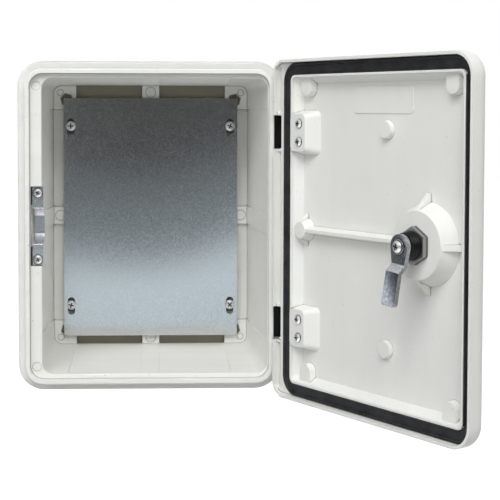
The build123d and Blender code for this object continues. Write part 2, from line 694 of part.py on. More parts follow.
def tray():
    """The hollow inside the lip, with sides that slope out from the panel."""
    rim = lip_outline(-LIP_T, LIP_R - LIP_T / 2)
    floor = lip_outline(-LIP_T - LIP_SLOPE, LIP_R)
    slope_end = LIP_TOP - LIP_SLOPE_BELOW
    return tapered(floor, PANEL, rim, slope_end) + prism(rim, slope_end - HOLE_CLEAR, LIP_TOP + OVERRUN)


def troughs():
    """Rounded hollows between the hinge notches, in the bank beside the gasket channel."""
    x0 = LIP_HALF_X + CHANNEL_W + BANK_T
    x1 = DOOR_HINGE_X - DOOR_SKIRT_T
    near = HINGE_Z - NOTCH_HALF - TROUGH_END
    far = HINGE_Z + NOTCH_HALF + TROUGH_END
    corner = DOOR_HALF_Z - TROUGH_CORNER
    return [trough(x0, x1, z0, z1) for z0, z1 in ((-near, near), (far, corner), (-corner, -far))]


def trough(x0, x1, z0, z1):
    wide, tall = x1 - x0, z1 - z0
    middle = Pos((x0 + x1) / 2, (z0 + z1) / 2)
    top = middle * RectangleRounded(wide, tall, TROUGH_R)
    slope = 2 * TROUGH_SLOPE
    floor = middle * RectangleRounded(wide - slope, tall - slope, TROUGH_R - TROUGH_SLOPE)
    hollow = tapered(floor, CHANNEL_FLOOR + TROUGH_FLOOR, top, BANK_TOP)
    return hollow + prism(top, BANK_TOP - HOLE_CLEAR, DOOR_OVERLAP + OVERRUN)


def hinge_side_relief():
    """Takes the skirt down towards the hinge edge so that the door swings clear of the collar."""
    lead = LIP_HALF_X + RELIEF_START
    end = DOOR_HINGE_X + OVERRUN
    top = DOOR_OVERLAP + OVERRUN
    points = [(lead, DOOR_OVERLAP), (lead + RELIEF_RUN, HINGE_TIP), (end, HINGE_TIP), (end, top), (lead, top)]
    outline = make_face(Polyline(*[(x, at(depth)) for x, depth in points], close=True))
    return extrude(Pos(0, 0, -BODY_H) * outline, 2 * BODY_H)


def hinge_block(z):
    """Tapered block beside the lip that takes the leaf's two screws."""
    top_x = LIP_HALF_X - BLOCK_IN - BLOCK_TOP_W / 2
    base_x = LIP_HALF_X - BLOCK_IN / 2 - BLOCK_BASE_W / 2
    base = Pos(base_x, z) * RectangleRounded(BLOCK_BASE_W, BLOCK_BASE_H, BLOCK_BASE_R)
    top = Pos(top_x, z) * RectangleRounded(BLOCK_TOP_W, BLOCK_TOP_H, BLOCK_TOP_R)
    return tapered(base, PANEL - BOSS_SINK, top, BLOCK_TOP)


def hinge_cuts(z):
    """Slot for the leaf, screw holes and the notch that lets the bracket through."""
    notch_x = AXIS_X - KNUCKLE_R - NOTCH_CLEAR
    half = LEAF_TALL / 2 + SEAT_CLEAR
    slot = block(LEAF_SCREW_X - LEAF_END - SEAT_CLEAR, notch_x + OVERRUN, z - half, z + half, PANEL,
                 PANEL + LEAF_T + 2 * SEAT_CLEAR)
    low, high = z - NOTCH_HALF, z + NOTCH_HALF
    end_x = DOOR_HINGE_X + OVERRUN
    shelf = AXIS_DEPTH + KNUCKLE_R + NOTCH_SHELF_CLEAR
    notch = block(notch_x, end_x, low, high, FRONT - OVERRUN, shelf)
    notch += block(notch_x + NOTCH_SHELF, end_x, low, high, shelf - OVERRUN, DOOR_OVERLAP + OVERRUN)
    cuts = slot + notch
    for hole_z in leaf_screw_heights(z):
        cuts += peg(LEAF_SCREW_X, hole_z, HINGE_SCREW_R + HOLE_CLEAR, PANEL, BLOCK_TOP + OVERRUN)
    return cuts


def web(place, root_r, shoulder_r, toe_r, top, thick, turn):
    """A thin sloping wall from a boss down to the panel."""
    base = PANEL - BOSS_SINK
    points = [(root_r, base), (toe_r, base), (toe_r, PANEL + WEB_TOE_RISE), (shoulder_r, top), (root_r, top)]
    outline = make_face(Polyline(*[(x, at(depth)) for x, depth in points], close=True))
    wall = extrude(Pos(0, 0, -thick / 2) * outline, thick)
    return Pos(place[0], 0, place[1]) * Rot(0, turn, 0) * wall


def lock_boss():
    """The cone that carries the lock, with its three webs."""
    base = PANEL - BOSS_SINK
    top = LOCK_BOSS_TOP - LOCK_WEB_BELOW
    cone = frustum(LOCK_X, LOCK_Z, LOCK_BOSS_BASE_R, LOCK_BOSS_R, base, LOCK_BOSS_TOP)
    root = LOCK_BOSS_R * WEB_ROOT
    webs = [web((LOCK_X, LOCK_Z), root, LOCK_BOSS_R, LOCK_WEB_TOE, top, LOCK_WEB_T, turn)
            for turn in (90, 180, 270)]
    return [cone] + webs


def rib_and_mid_boss():
    """The boss between the hinges, and the long rib from it to the lock."""
    base = PANEL - BOSS_SINK
    x = LIP_HALF_X - MID_BOSS_IN
    top = LIP_TOP - MID_BOSS_BELOW
    cone = frustum(x, LOCK_Z, MID_BOSS_BASE_R, MID_BOSS_R, base, top)
    webs = [web((x, LOCK_Z), MID_BOSS_R * WEB_ROOT, MID_BOSS_R, MID_WEB_TOE, top, MID_WEB_T, turn)
            for turn in (90, 270)]
    start = LOCK_X + LOCK_BOSS_R * WEB_ROOT
    middle = Pos((start + x) / 2, LOCK_Z)
    rib = tapered(middle * Rectangle(x - start, RIB_BASE), base, middle * Rectangle(x - start, RIB_CREST),
                  LIP_TOP - RIB_BELOW)
    return [cone, rib] + webs


def boss_tongue(x, z, end, base, top):
    """The straight part that joins a corner boss to the lip."""
    middle = Pos(x, (z + end) / 2)
    tall = abs(end - z)
    wide = 2 * (CORNER_BOSS_R - SEAT_CLEAR)
    return tapered(middle * Rectangle(wide + 2 * BOSS_TAPER, tall), base, middle * Rectangle(wide, tall), top)


def round_bosses():
    base = PANEL - BOSS_SINK
    x = LIP_HALF_X - CORNER_BOSS_EDGE_X
    z = LIP_HALF_Z - CORNER_BOSS_EDGE_Z
    top = LIP_TOP - CORNER_BOSS_BELOW
    bosses = [frustum(sx * x, sz * z, CORNER_BOSS_R + BOSS_TAPER, CORNER_BOSS_R, base, top)
              for sx, sz in CORNERS]
    bosses += [boss_tongue(sx * x, sz * z, sz * (LIP_HALF_Z - LIP_T / 2), base, top) for sx, sz in CORNERS]
    z = LIP_HALF_Z - ROUND_BOSS_DROP
    top = LIP_TOP - ROUND_BOSS_BELOW
    bosses += [frustum(ROUND_BOSS_X, sz * z, ROUND_BOSS_R + BOSS_TAPER, ROUND_BOSS_R, base, top)
               for sz in (1, -1)]
    return bosses


def label_pad():
    """A low raised field for a label, with a bevelled edge."""
    middle = Pos(LABEL_X, LIP_HALF_Z - LABEL_DROP)
    foot = middle * RectangleRounded(LABEL_W, LABEL_H, LABEL_R)
    edge = 2 * LABEL_BEVEL
    face = middle * RectangleRounded(LABEL_W - edge, LABEL_H - edge, LABEL_R - LABEL_BEVEL)
    return prism(foot, PANEL - BOSS_SINK, PANEL + HOLE_CLEAR) + tapered(foot, PANEL, face, PANEL + LABEL_RISE)


def make_door():
    door = door_shell()
    for piece in round_bosses() + rib_and_mid_boss() + lock_boss():
        door += piece
    for side in (1, -1):
        door += hinge_block(side * HINGE_Z)
        door -= hinge_cuts(side * HINGE_Z)
    door -= peg(LOCK_X, LOCK_Z, BARREL_R + BARREL_HOLE_CLEAR, FRONT - OVERRUN, LOCK_BOSS_TOP + OVERRUN)
    return door + label_pad()


def channel_outline(inset):
    """The outer side of the gasket channel, or a line inside it."""
    return lip_outline(CHANNEL_W - inset, CHANNEL_R - inset)


def make_door_gasket():
    """Soft ring with a seat for the collar's rim between two ridges."""
    seat = -GASKET_CLEAR
    outer = channel_outline(SEAT_CLEAR)
    base = prism(outer, CHANNEL_FLOOR, seat)
    ridge_top = channel_outline(SEAT_CLEAR + RIDGE_LEAN)
    hollow_foot = channel_outline(SEAT_CLEAR + OUTER_RIDGE_W)
    hollow_top = channel_outline(SEAT_CLEAR + OUTER_RIDGE_W - RIDGE_LEAN)
    ridge = tapered(outer, seat - HOLE_CLEAR, ridge_top, GASKET_RIDGE)
    ridge -= tapered(hollow_foot, seat, hollow_top, GASKET_RIDGE + HOLE_CLEAR)
    hole = prism(lip_outline(SEAT_CLEAR, LIP_R + SEAT_CLEAR), CHANNEL_FLOOR - OVERRUN, LIP_TOP)
    return base + ridge + inner_ridge() - hole


def inner_ridge():
    """The ridge beside the lip, kept clear of the collar's inner corners."""
    seat = -GASKET_CLEAR
    reach = SEAT_CLEAR + INNER_RIDGE_W
    foot = lip_outline(reach, LIP_R + reach)
    top = lip_outline(reach - RIDGE_LEAN, LIP_R + reach - RIDGE_LEAN)
    mouth_r = BODY_R - COLLAR_INSET - COLLAR_T
    room = rounded(MOUTH_HALF_X - RIDGE_GAP, MOUTH_HALF_Z - RIDGE_GAP, mouth_r - RIDGE_GAP)
    ridge = tapered(foot, seat - HOLE_CLEAR, top, GASKET_RIDGE)
    return ridge & prism(room, seat - OVERRUN, GASKET_RIDGE + OVERRUN)


def turned(points):
    """A solid of revolution about the lock's axis from radius and depth pairs."""
    outline = make_face(Polyline(*[(r, at(depth)) for r, depth in points], close=True))
    return Pos(LOCK_X, 0, LOCK_Z) * revolve(outline, Axis.Y)


def make_lock_housing():
    """Flanged barrel whose thread shows behind the nut."""
    bore = ROTOR_R + RUN_FIT
    seat = FRONT - SEAL_T
    face = seat - ESCUTCHEON_T
    points = [(bore, face), (ESCUTCHEON_R - ESCUTCHEON_BEVEL, face), (ESCUTCHEON_R, face + ESCUTCHEON_BEVEL),
              (ESCUTCHEON_R, seat), (BARREL_R, seat)]
    depth = LOCK_BOSS_TOP + NUT_T
    while depth + THREAD_PITCH <= BARREL_END:
        points += [(BARREL_R, depth), (BARREL_R - THREAD_DEPTH, depth + THREAD_PITCH / 2)]
        depth += THREAD_PITCH
    points += [(BARREL_R, depth), (BARREL_R - THREAD_DEPTH, BARREL_END), (bore, BARREL_END)]
    return turned(points)


def make_lock_seal():
    inner, outer = BARREL_R + BARREL_HOLE_CLEAR, ESCUTCHEON_R - SEAL_IN
    return turned([(inner, FRONT), (outer, FRONT), (outer, FRONT - SEAL_T), (inner, FRONT - SEAL_T)])


def make_lock_nut():
    flats = RegularPolygon(NUT_FLATS / 2, 6, major_radius=False, rotation=30) - Circle(BARREL_R + HOLE_CLEAR)
    return prism(Pos(LOCK_X, LOCK_Z) * flats, LOCK_BOSS_TOP, LOCK_BOSS_TOP + NUT_T)


def make_lock_rotor():
    """Core with a double-bit key recess at the front and a square end for the cam."""
    face = FRONT - SEAL_T - ESCUTCHEON_T + ROTOR_PROUD
    core = peg(LOCK_X, LOCK_Z, ROTOR_R, face, BARREL_END)
    post = Circle(KEY_POST_R) + Rectangle(2 * KEY_BIT, KEY_BIT_T)
    key = prism(Pos(LOCK_X, LOCK_Z) * (Circle(KEY_R) - post), face - OVERRUN, face + KEY_DEPTH)
    half = ROTOR_SQUARE / 2
    square = block(LOCK_X - half, LOCK_X + half, LOCK_Z - half, LOCK_Z + half, BARREL_END - OVERRUN,
                   CAM_BACK - HOLE_CLEAR)
    tapped = peg(LOCK_X, LOCK_Z, M5_R + HOLE_CLEAR, CAM_BACK + CAM_WASHER_T - M5_L - HOLE_CLEAR, CAM_BACK)
    return core - key + square - tapped


def make_lock_cam():
    """Cranked blade hanging from the square, its end stepped towards the strike."""
    low, bend, tip = LOCK_Z - CAM_NECK, LOCK_Z - CAM_BEND, LOCK_Z - CAM_REACH
    half = CAM_BLADE_W / 2
    neck_x = CAM_HEAD_R * math.cos(math.radians(CAM_NECK_ANGLE))
    neck_z = CAM_HEAD_R * math.sin(math.radians(CAM_NECK_ANGLE))
    neck = Polyline((LOCK_X - neck_x, LOCK_Z - neck_z), (LOCK_X + neck_x, LOCK_Z - neck_z),
                    (LOCK_X + half, low), (LOCK_X - half, low), close=True)
    cam = peg(LOCK_X, LOCK_Z, CAM_HEAD_R, CAM_FRONT, CAM_BACK) + prism(make_face(neck), CAM_FRONT, CAM_BACK)
    bend_back = CAM_BACK + CAM_CRANK
    back = [(CAM_BACK, low), (bend_back, bend), (BLADE_BACK, tip)]
    front = [(BLADE_BACK - CAM_T, tip), (bend_back - CAM_T, bend - CAM_MITRE), (CAM_FRONT, low - CAM_MITRE)]
    side = [(CAM_FRONT, low)] + back + front
    blade = side_profile(side, LOCK_X - half, CAM_BLADE_W)
    cam += fillet(blade.edges().filter_by(Axis.Y).group_by(Axis.Z)[0], CAM_TIP_R)
    hole = ROTOR_SQUARE / 2 + SQUARE_CLEAR
    return cam - block(LOCK_X - hole, LOCK_X + hole, LOCK_Z - hole, LOCK_Z + hole, CAM_FRONT - OVERRUN,
                       CAM_BACK + OVERRUN)


def make_cam_washer():
    return ring(LOCK_X, LOCK_Z, CAM_WASHER_R, M5_R + HOLE_CLEAR, CAM_BACK, CAM_BACK + CAM_WASHER_T)


def make_cam_screw():
    screw = pan_screw(M5_R, M5_HEAD_R, M5_HEAD_H, M5_L)
    return driven(screw, LOCK_X, CAM_BACK + CAM_WASHER_T, LOCK_Z, 10, towards_wall=False)


def swing(shape):
    """Swings a closed-door piece open about the hinge axis."""
    return shape.rotate(Axis((AXIS_X, at(AXIS_DEPTH), 0), (0, 0, 1)), OPEN_ANGLE)


def lean(shape):
    """Turns a lock piece to the angle at which the cam hangs."""
    return shape.rotate(Axis((LOCK_X, 0, LOCK_Z), (0, 1, 0)), -CAM_REST_LEAN)


def as_made(shape):
    return shape


def leant_and_swung(shape):
    return swing(lean(shape))


def fixed_pieces():
    return {
        "body": make_body(),
        "mounting_plate": make_mounting_plate(),
        "plate_screws": make_plate_screws(),
        "plate_inserts": make_plate_inserts(),
        "corner_inserts": make_corner_inserts(),
        "strike_plate": make_strike_plate(),
        "strike_screws": make_strike_screws(),
        "hinge_bracket_upper": hinge_bracket(HINGE_Z),
        "hinge_bracket_lower": hinge_bracket(-HINGE_Z),
        "hinge_bracket_screws": make_bracket_screws(),
        "hinge_pin_upper": hinge_pin(HINGE_Z),
        "hinge_pin_lower": hinge_pin(-HINGE_Z),
    }


def door_pieces():
    return {
        "door": make_door(),
        "door_gasket": make_door_gasket(),
        "hinge_leaf_upper": hinge_leaf(HINGE_Z),
        "hinge_leaf_lower": hinge_leaf(-HINGE_Z),
        "hinge_leaf_screws": make_leaf_screws(),
        "lock_housing": make_lock_housing(),
        "lock_seal": make_lock_seal(),
        "lock_nut": make_lock_nut(),
    }


def latch_pieces():
    return {
        "lock_rotor": make_lock_rotor(),
        "lock_cam": make_lock_cam(),
        "cam_washer": make_cam_washer(),
        "cam_screw": make_cam_screw(),
    }


def write(name, shape, placed):
    """Writes one piece, or a group of like pieces, at its place."""
    pieces = shape if isinstance(shape, list) else [shape]
    solids = [solid for piece in pieces for solid in placed(piece).solids()]
    whole = solids[0] if len(solids) == 1 else Compound(children=solids)
    export_step(whole, f"parts/{name}.step")


def main():
    os.makedirs("parts", exist_ok=True)
    groups = ((fixed_pieces(), as_made), (door_pieces(), swing), (latch_pieces(), leant_and_swung))
    for pieces, placed in groups:
        for name, shape in pieces.items():
            write(name, shape, placed)


main()
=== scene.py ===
"""Looks of the wall enclosure: materials, edge finish, light and camera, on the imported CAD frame."""

import math

import bpy
from mathutils import Matrix, Vector


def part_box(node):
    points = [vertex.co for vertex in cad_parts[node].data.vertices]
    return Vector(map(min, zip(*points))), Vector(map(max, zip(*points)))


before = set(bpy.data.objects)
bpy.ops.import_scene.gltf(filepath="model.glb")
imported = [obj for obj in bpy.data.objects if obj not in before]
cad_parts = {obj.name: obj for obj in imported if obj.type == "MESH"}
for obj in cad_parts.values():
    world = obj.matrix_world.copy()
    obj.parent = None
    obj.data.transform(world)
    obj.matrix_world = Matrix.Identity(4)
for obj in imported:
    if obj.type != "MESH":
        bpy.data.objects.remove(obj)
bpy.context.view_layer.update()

# Camera fitted to the photograph: metres, degrees, and millimetres for the lens and the sensor
CAMERA_PLACE = (0.009561, -1.336619, 0.106795)
CAMERA_PITCH = -2.584
CAMERA_YAW = -2.236
CAMERA_ROLL = -0.091
CAMERA_LENS = 92.3545
CAMERA_SENSOR = 36.0
CAMERA_SHIFT = (0.08, -0.16)

# Lamps: name, place, size, watts and whether a polished piece shows it; all aim at one point
AIM = (0.05, -0.15, 0.0)
LAMPS = (
    ("key", (-0.10, -1.83, 1.68), 1.3, 24.5, True),
    ("upper_left", (-0.8, -1.5, 1.6), 1.0, 10.5, False),
    ("upper_right", (0.7, -1.6, 1.4), 1.0, 7.0, False),
    ("low_front", (0.05, -2.31, -0.79), 0.8, 11.0, False),
    ("left_fill", (-1.8, -1.6, 0.9), 1.2, 6.0, False),
    ("behind", (-0.4, 2.2, 1.2), 1.4, 16.0, False),
)

# World: its strength, the lower strength towards a point high up behind the object, and the cosines of the
# angle to that point over which it falls
WORLD_LIGHT = 0.36
DIM_SKY_LIGHT = 0.10
DIM_SKY = (0.0, 0.6, 0.8)
DIM_SKY_RANGE = (0.1, 0.8)
WHITE = (1.0, 1.0, 1.0, 1)

# Floor: height and half width in metres, its colour for bounced light, and its colour and glow for the eye
FLOOR_Z = -0.62
FLOOR_HALF = 12.0
FLOOR_LIT = (0.5, 0.5, 0.5, 1)
FLOOR_SEEN = (0.9, 0.9, 0.9, 1)
FLOOR_GLOW = 0.85

# Cards that only reflections show: the lowest and highest corner in metres, and rows of height, glow and
# coolness; the front card's bands curve up to both sides of one X, and the left card's bands rise along Y
FRONT_CARD = ((-0.242, -1.6, -1.0), (0.6, -1.6, 0.5))
FRONT_CARD_ARC = 1.0
FRONT_CARD_ARC_X = -0.056
FRONT_CARD_GLOW = (
    (-0.40, 0.76, 0.13), (-0.29, 0.94, 0.13), (-0.262, 0.86, 0.13), (-0.236, 0.44, 0.13),
    (-0.19, 0.26, 0.13), (-0.05, 0.195, 0.10), (-0.024, 0.096, 0.04), (0.04, 0.092, 0.0),
)
STRIKE_CARD = ((-0.6, -1.6, -1.6), (-0.242, -1.6, 1.4))
STRIKE_CARD_GLOW = (
    (-0.60, 1.50, 0.0), (-0.41, 1.20, 0.0), (-0.34, 0.22, 0.12),
    (0.05, 0.22, 0.12), (0.30, 0.55, 0.0), (0.60, 0.62, -0.08),
)
LEFT_CARD = ((-1.2, -0.9, -0.9), (-1.2, 0.7, 0.6))
LEFT_CARD_SLANT = 2.2
LEFT_CARD_SLANT_Y = 0.03
LEFT_CARD_GLOW = (
    (-0.30, 0.30, 0.1), (-0.178, 0.08, 0.1), (-0.166, 0.10, 0.1), (-0.154, 0.75, 0.05),
    (-0.11, 1.20, 0.1), (-0.041, 1.15, 0.1), (-0.035, 0.42, 0.1), (-0.017, 0.22, 0.1),
    (0.000, 0.06, 0.1), (0.12, 0.06, 0.1), (0.25, 0.45, 0.05), (0.40, 0.55, 0.0),
)
CARD_HIDDEN = ("camera", "diffuse", "shadow", "transmission", "volume_scatter")

# Flag that keeps some of the lamps' light off the collar's top edge: its lowest and highest corner in metres
FLAG = ((-0.125, -0.17, 0.178), (0.125, -0.17, 0.32))
FLAG_HIDDEN = ("camera", "diffuse", "glossy", "transmission", "volume_scatter")

# Painted shade in creases: how far it reaches in metres, and the open share of the half-sphere from dark to
# clear
CREASE_REACH = 0.0028
CREASE_RANGE = (0.28, 0.70)
RING_REACH = 0.0012
RING_RANGE = (0.30, 0.86)
RECESS_REACH = 0.0028
RECESS_RANGE = (0.60, 0.93)
CREASE_SAMPLES = 8

# Walls of the tub, in metres along Y, and the shares of the painted crease and ring shade that stay there
WALL_Y = (-0.137, -0.024)
WALL_CREASE = 0.25
WALL_RING = 0.0

# Rounded edges of small hardware: widths and weld distance in metres, and the least angle in degrees
HEAD_EDGE = 0.0005
SHEET_EDGE = 0.00025
WELD_GAP = 0.000002
EDGE_SEGMENTS = 3
EDGE_ANGLE = 32
FLAT_WEIGHT = 100

# Samples of the soft edges in a material's bump
SOFT_EDGE_SAMPLES = 6

# Painted shade on the moulding: under the plate's slots and round the strike plate, in metres
PLATE_HEAD_R = 0.0048
SLOT_SEAT_R = 0.0075
SLOT_SEAT_EDGE = 0.001
STRIKE_GAP = 0.0018
STRIKE_SEAT = (-0.0008, 0.0045)

# Depth of the floor's windows, in metres along Y, and the edges of the inner floor
WINDOW_TOP = -0.0088
WINDOW_FLOOR = -0.0072
BACK_SKIN = -0.0025
INNER_HALF_X = 0.1022
INNER_HALF_Z = 0.1362
END_WINDOW_Z = 0.11

# Colours of the moulding: clouds, streaks and specks, then the painted shade of creases, windows and seats
MOULD_DEEP = (0.825, 0.830, 0.795, 1)
MOULD_PALE = (0.870, 0.873, 0.845, 1)
MOULD_STREAK = (0.780, 0.785, 0.745, 1)
MOULD_SPECK = (0.36, 0.34, 0.28, 1)
CREASE_SHADE = (0.30, 0.295, 0.255, 1)
RING_SHADE = (0.24, 0.235, 0.20, 1)
WINDOW_SHADE = (0.30, 0.285, 0.22, 1)
SLOT_SEAT_SHADE = (0.05, 0.05, 0.045, 1)
STRIKE_SEAT_SHADE = (0.04, 0.042, 0.042, 1)

# Flow streaks: the stretch of their texture along X, Y and Z, and their strength, on the tub and on the door
BODY_GRAIN = (7.0, 110.0, 110.0)
BODY_STREAK = 0.45
DOOR_GRAIN = (70.0, 70.0, 14.0)
DOOR_STREAK = 0.2

# Colours of brass: tarnished and bare
BRASS_BROWN = (0.15, 0.12, 0.085, 1)
BRASS_BARE = (0.27, 0.22, 0.155, 1)

# Plated steel: the grey of its painted recess shade, then the usual mottle of its tone and relief of its
# surface
RECESS_SHADE = 0.01
MOTTLE = 0.08
RELIEF = 0.06

# Plated hardware: material, grey level, warmth, roughness range, mottle, relief, and the nodes that wear it
PLATED = (
    ("zinc_hardware", 0.86, -0.03, (0.26, 0.40), MOTTLE, RELIEF,
     ("plate_screws", "hinge_bracket_screws", "hinge_pin_upper", "hinge_pin_lower", "lock_rotor",
      "cam_washer")),
    ("zinc_small_screws", 0.70, -0.03, (0.24, 0.36), MOTTLE, RELIEF, ("strike_screws", "hinge_leaf_screws")),
    ("zinc_cam_screw", 0.62, 0.04, (0.28, 0.40), MOTTLE, RELIEF, ("cam_screw",)),
    ("zinc_strike", 0.82, -0.03, (0.16, 0.28), MOTTLE, RELIEF, ("strike_plate",)),
    ("zinc_cam", 0.55, -0.05, (0.03, 0.08), 0.40, 0.010, ("lock_cam",)),
    ("nut_steel", 0.40, 0.0, (0.34, 0.46), MOTTLE, RELIEF, ("lock_nut",)),
)

# Nodes that share a material or an edge finish
BRASS_NODES = ("plate_inserts", "corner_inserts")
RUBBER_NODES = ("door_gasket", "lock_seal")
BLACK_NODES = ("hinge_bracket_upper", "hinge_bracket_lower", "hinge_leaf_upper", "hinge_leaf_lower",
               "lock_housing")
HEAD_NODES = ("plate_screws", "strike_screws", "hinge_leaf_screws", "hinge_bracket_screws", "cam_screw")
SHEET_NODES = ("strike_plate", "lock_cam")

# Shares of warmth in red and green, and of coolness in blue
WARM_RED = 0.4
WARM_GREEN = 0.3
COOL_BLUE = 0.5

# Sockets of the Mix node that carry its factor and its colours
MIX_FACTOR = 0
MIX_FIRST = 6
MIX_SECOND = 7
MIX_RESULT = 2


class Nodes:
    """A node tree under construction, with short calls for its nodes."""

    def __init__(self, tree):
        self.tree = tree
        self.tree.nodes.clear()

    def node(self, kind, inputs=None, **properties):
        """Adds a node; each of its inputs gets a plain value or another node's output."""
        made = self.tree.nodes.new(kind)
        for name, value in properties.items():
            setattr(made, name, value)
        for name, value in (inputs or {}).items():
            if isinstance(value, bpy.types.NodeSocket):
                self.tree.links.new(value, made.inputs[name])
            else:
                made.inputs[name].default_value = value
        return made

    def math(self, operation, first, second=0.0):
        """One step of arithmetic."""
        return self.node("ShaderNodeMath", {0: first, 1: second}, operation=operation).outputs["Value"]

    def product(self, *values):
        """The product of several numbers."""
        total = values[0]
        for value in values[1:]:
            total = self.math("MULTIPLY", total, value)
        return total

    def spread(self, value, low, high, start=0.3, end=0.7):
        """Maps a range of numbers, by default a noise's usual one, to another range."""
        inputs = {"Value": value, "From Min": start, "From Max": end, "To Min": low, "To Max": high}
        return self.node("ShaderNodeMapRange", inputs).outputs["Result"]

    def blended(self, factor, first, second):
        """Mixes two shaders by a factor."""
        return self.node("ShaderNodeMixShader", {0: factor, 1: first, 2: second}).outputs[0]

    def seen_directly(self):
        """One for camera, glossy and transmission rays, nothing for the rest."""
        path = self.node("ShaderNodeLightPath")
        total = path.outputs["Is Camera Ray"]
        for name in ("Is Glossy Ray", "Is Transmission Ray"):
            total = self.math("MAXIMUM", total, path.outputs[name])
        return total


class Paint(Nodes):
    """A material under construction."""

    def __init__(self, name):
        self.material = bpy.data.materials.new(name)
        self.material.use_nodes = True
        super().__init__(self.material.node_tree)
        self.out = self.node("ShaderNodeOutputMaterial")
        self.place = self.node("ShaderNodeTexCoord").outputs["Object"]

    def surface(self, shader):
        """Ends the material with a shader."""
        self.tree.links.new(shader, self.out.inputs["Surface"])
        return self.material

    def principled(self, **values):
        """Ends the material with a principled shader; an underscore stands for a space in a name."""
        inputs = {name.replace("_", " "): value for name, value in values.items()}
        return self.surface(self.node("ShaderNodeBsdfPrincipled", inputs).outputs["BSDF"])

    def stretched(self, scale):
        """Object coordinates stretched along the axes."""
        return self.node("ShaderNodeMapping", {"Vector": self.place, "Scale": scale}).outputs["Vector"]

    def noise(self, scale, detail=3.0, where=None):
        """A noise over the object's coordinates, or over others that are given."""
        place = self.place if where is None else where
        inputs = {"Vector": place, "Scale": scale, "Detail": detail}
        return self.node("ShaderNodeTexNoise", inputs).outputs["Fac"]

    def cells(self, scale):
        """Random grey of each crystal-like cell."""
        return self.node("ShaderNodeTexVoronoi", {"Vector": self.place, "Scale": scale}).outputs["Color"]

    def between(self, factor, first, second):
        """Mixes two colours by a factor."""
        inputs = {MIX_FACTOR: factor, MIX_FIRST: first, MIX_SECOND: second}
        return self.node("ShaderNodeMix", inputs, data_type="RGBA").outputs[MIX_RESULT]

    def axes(self):
        """Object coordinates as three numbers."""
        parts = self.node("ShaderNodeSeparateXYZ", {"Vector": self.place})
        return [parts.outputs[name] for name in "XYZ"]

    def within(self, value, low, high):
        """One where a number lies between two limits, nothing elsewhere."""
        above = self.math("GREATER_THAN", value, low)
        below = self.math("LESS_THAN", value, high)
        return self.product(above, below)

    def crease(self, reach, span):
        """One deep in a crease of the shape, nothing on open faces."""
        made = self.node("ShaderNodeAmbientOcclusion", {"Distance": reach}, samples=CREASE_SAMPLES)
        return self.spread(made.outputs["AO"], 1.0, 0.0, *span)

    def bump(self, height, strength, distance, edge=0.0):
        """A bump's normal, over softened edges where an edge radius is given."""
        inputs = {"Height": height, "Strength": strength, "Distance": distance}
        if edge:
            soft = self.node("ShaderNodeBevel", {"Radius": edge}, samples=SOFT_EDGE_SAMPLES)
            inputs["Normal"] = soft.outputs["Normal"]
        return self.node("ShaderNodeBump", inputs).outputs["Normal"]


def grey(level, warmth=0.0):
    """A near-neutral colour, a little yellow where warmth is above zero and blue below it."""
    return (level * (1 + warmth * WARM_RED), level * (1 + warmth * WARM_GREEN), level * (1 - warmth), 1.0)


def cool(level, coolness):
    """A card's colour, a cool grey where coolness is above zero and a warm one below it."""
    return (level * (1 - coolness), level, level * (1 + coolness * COOL_BLUE), 1.0)


def window_shade_mask(paint):
    """Where shade is painted: one inside the windows at the floor's upper and lower end, nothing elsewhere
    on the body.
    """
    x, y, z = paint.axes()
    side = paint.math("LESS_THAN", paint.math("ABSOLUTE", x), INNER_HALF_X)
    end = paint.within(paint.math("ABSOLUTE", z), END_WINDOW_Z, INNER_HALF_Z)
    depth = paint.spread(y, 0.0, 1.0, WINDOW_TOP, WINDOW_FLOOR)
    front = paint.math("LESS_THAN", y, BACK_SKIN)
    return paint.product(depth, front, side, end)


def slot_seat_shade_mask(paint):
    """Where shade under the plate is painted: one on the floor's pads round the plate's screws, which only
    the slots show.
    """
    low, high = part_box("plate_screws")
    x, y, z = paint.axes()
    squares = []
    for value, start, end in ((x, low[0], high[0]), (z, low[2], high[2])):
        half = (end - start) / 2 - PLATE_HEAD_R
        across = paint.math("ABSOLUTE", paint.math("SUBTRACT", value, (start + end) / 2))
        apart = paint.math("SUBTRACT", across, half)
        squares.append(paint.product(apart, apart))
    away = paint.math("SQRT", paint.math("ADD", *squares))
    near = paint.spread(away, 1.0, 0.0, SLOT_SEAT_R, SLOT_SEAT_R + SLOT_SEAT_EDGE)
    return paint.product(near, paint.math("LESS_THAN", y, BACK_SKIN))


def strike_seat_shade_mask(paint):
    """Where shade is painted in the pocket round the strike plate: one there, nothing elsewhere on the body.
    """
    low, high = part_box("strike_plate")
    x, y, z = paint.axes()
    beside = paint.within(x, low[0] - STRIKE_GAP, high[0])
    along = paint.within(z, low[2] - STRIKE_GAP, high[2] + STRIKE_GAP)
    depth = paint.within(y, low[1] + STRIKE_SEAT[0], low[1] + STRIKE_SEAT[1])
    return paint.product(beside, along, depth)


def off_walls(paint, mask, share):
    """A mask that keeps only a share of its strength on the tub's walls."""
    wall = paint.within(paint.axes()[1], *WALL_Y)
    return paint.product(mask, paint.spread(wall, 1.0, share, 0.0, 1.0))


def mould_tone(paint, grain, strength):
    """The plastic's own colour: soft clouds, flow streaks and rare specks."""
    cloud = paint.spread(paint.noise(scale=16.0, detail=5.0), low=0.0, high=1.0)
    colour = paint.between(cloud, MOULD_DEEP, MOULD_PALE)
    flow = paint.noise(scale=1.0, detail=4.0, where=paint.stretched(grain))
    streak = paint.spread(flow, low=0.0, high=strength, start=0.45, end=0.75)
    colour = paint.between(streak, colour, MOULD_STREAK)
    speck = paint.spread(paint.noise(scale=520.0, detail=1.0), low=0.0, high=0.55, start=0.755, end=0.80)
    return paint.between(speck, colour, MOULD_SPECK)


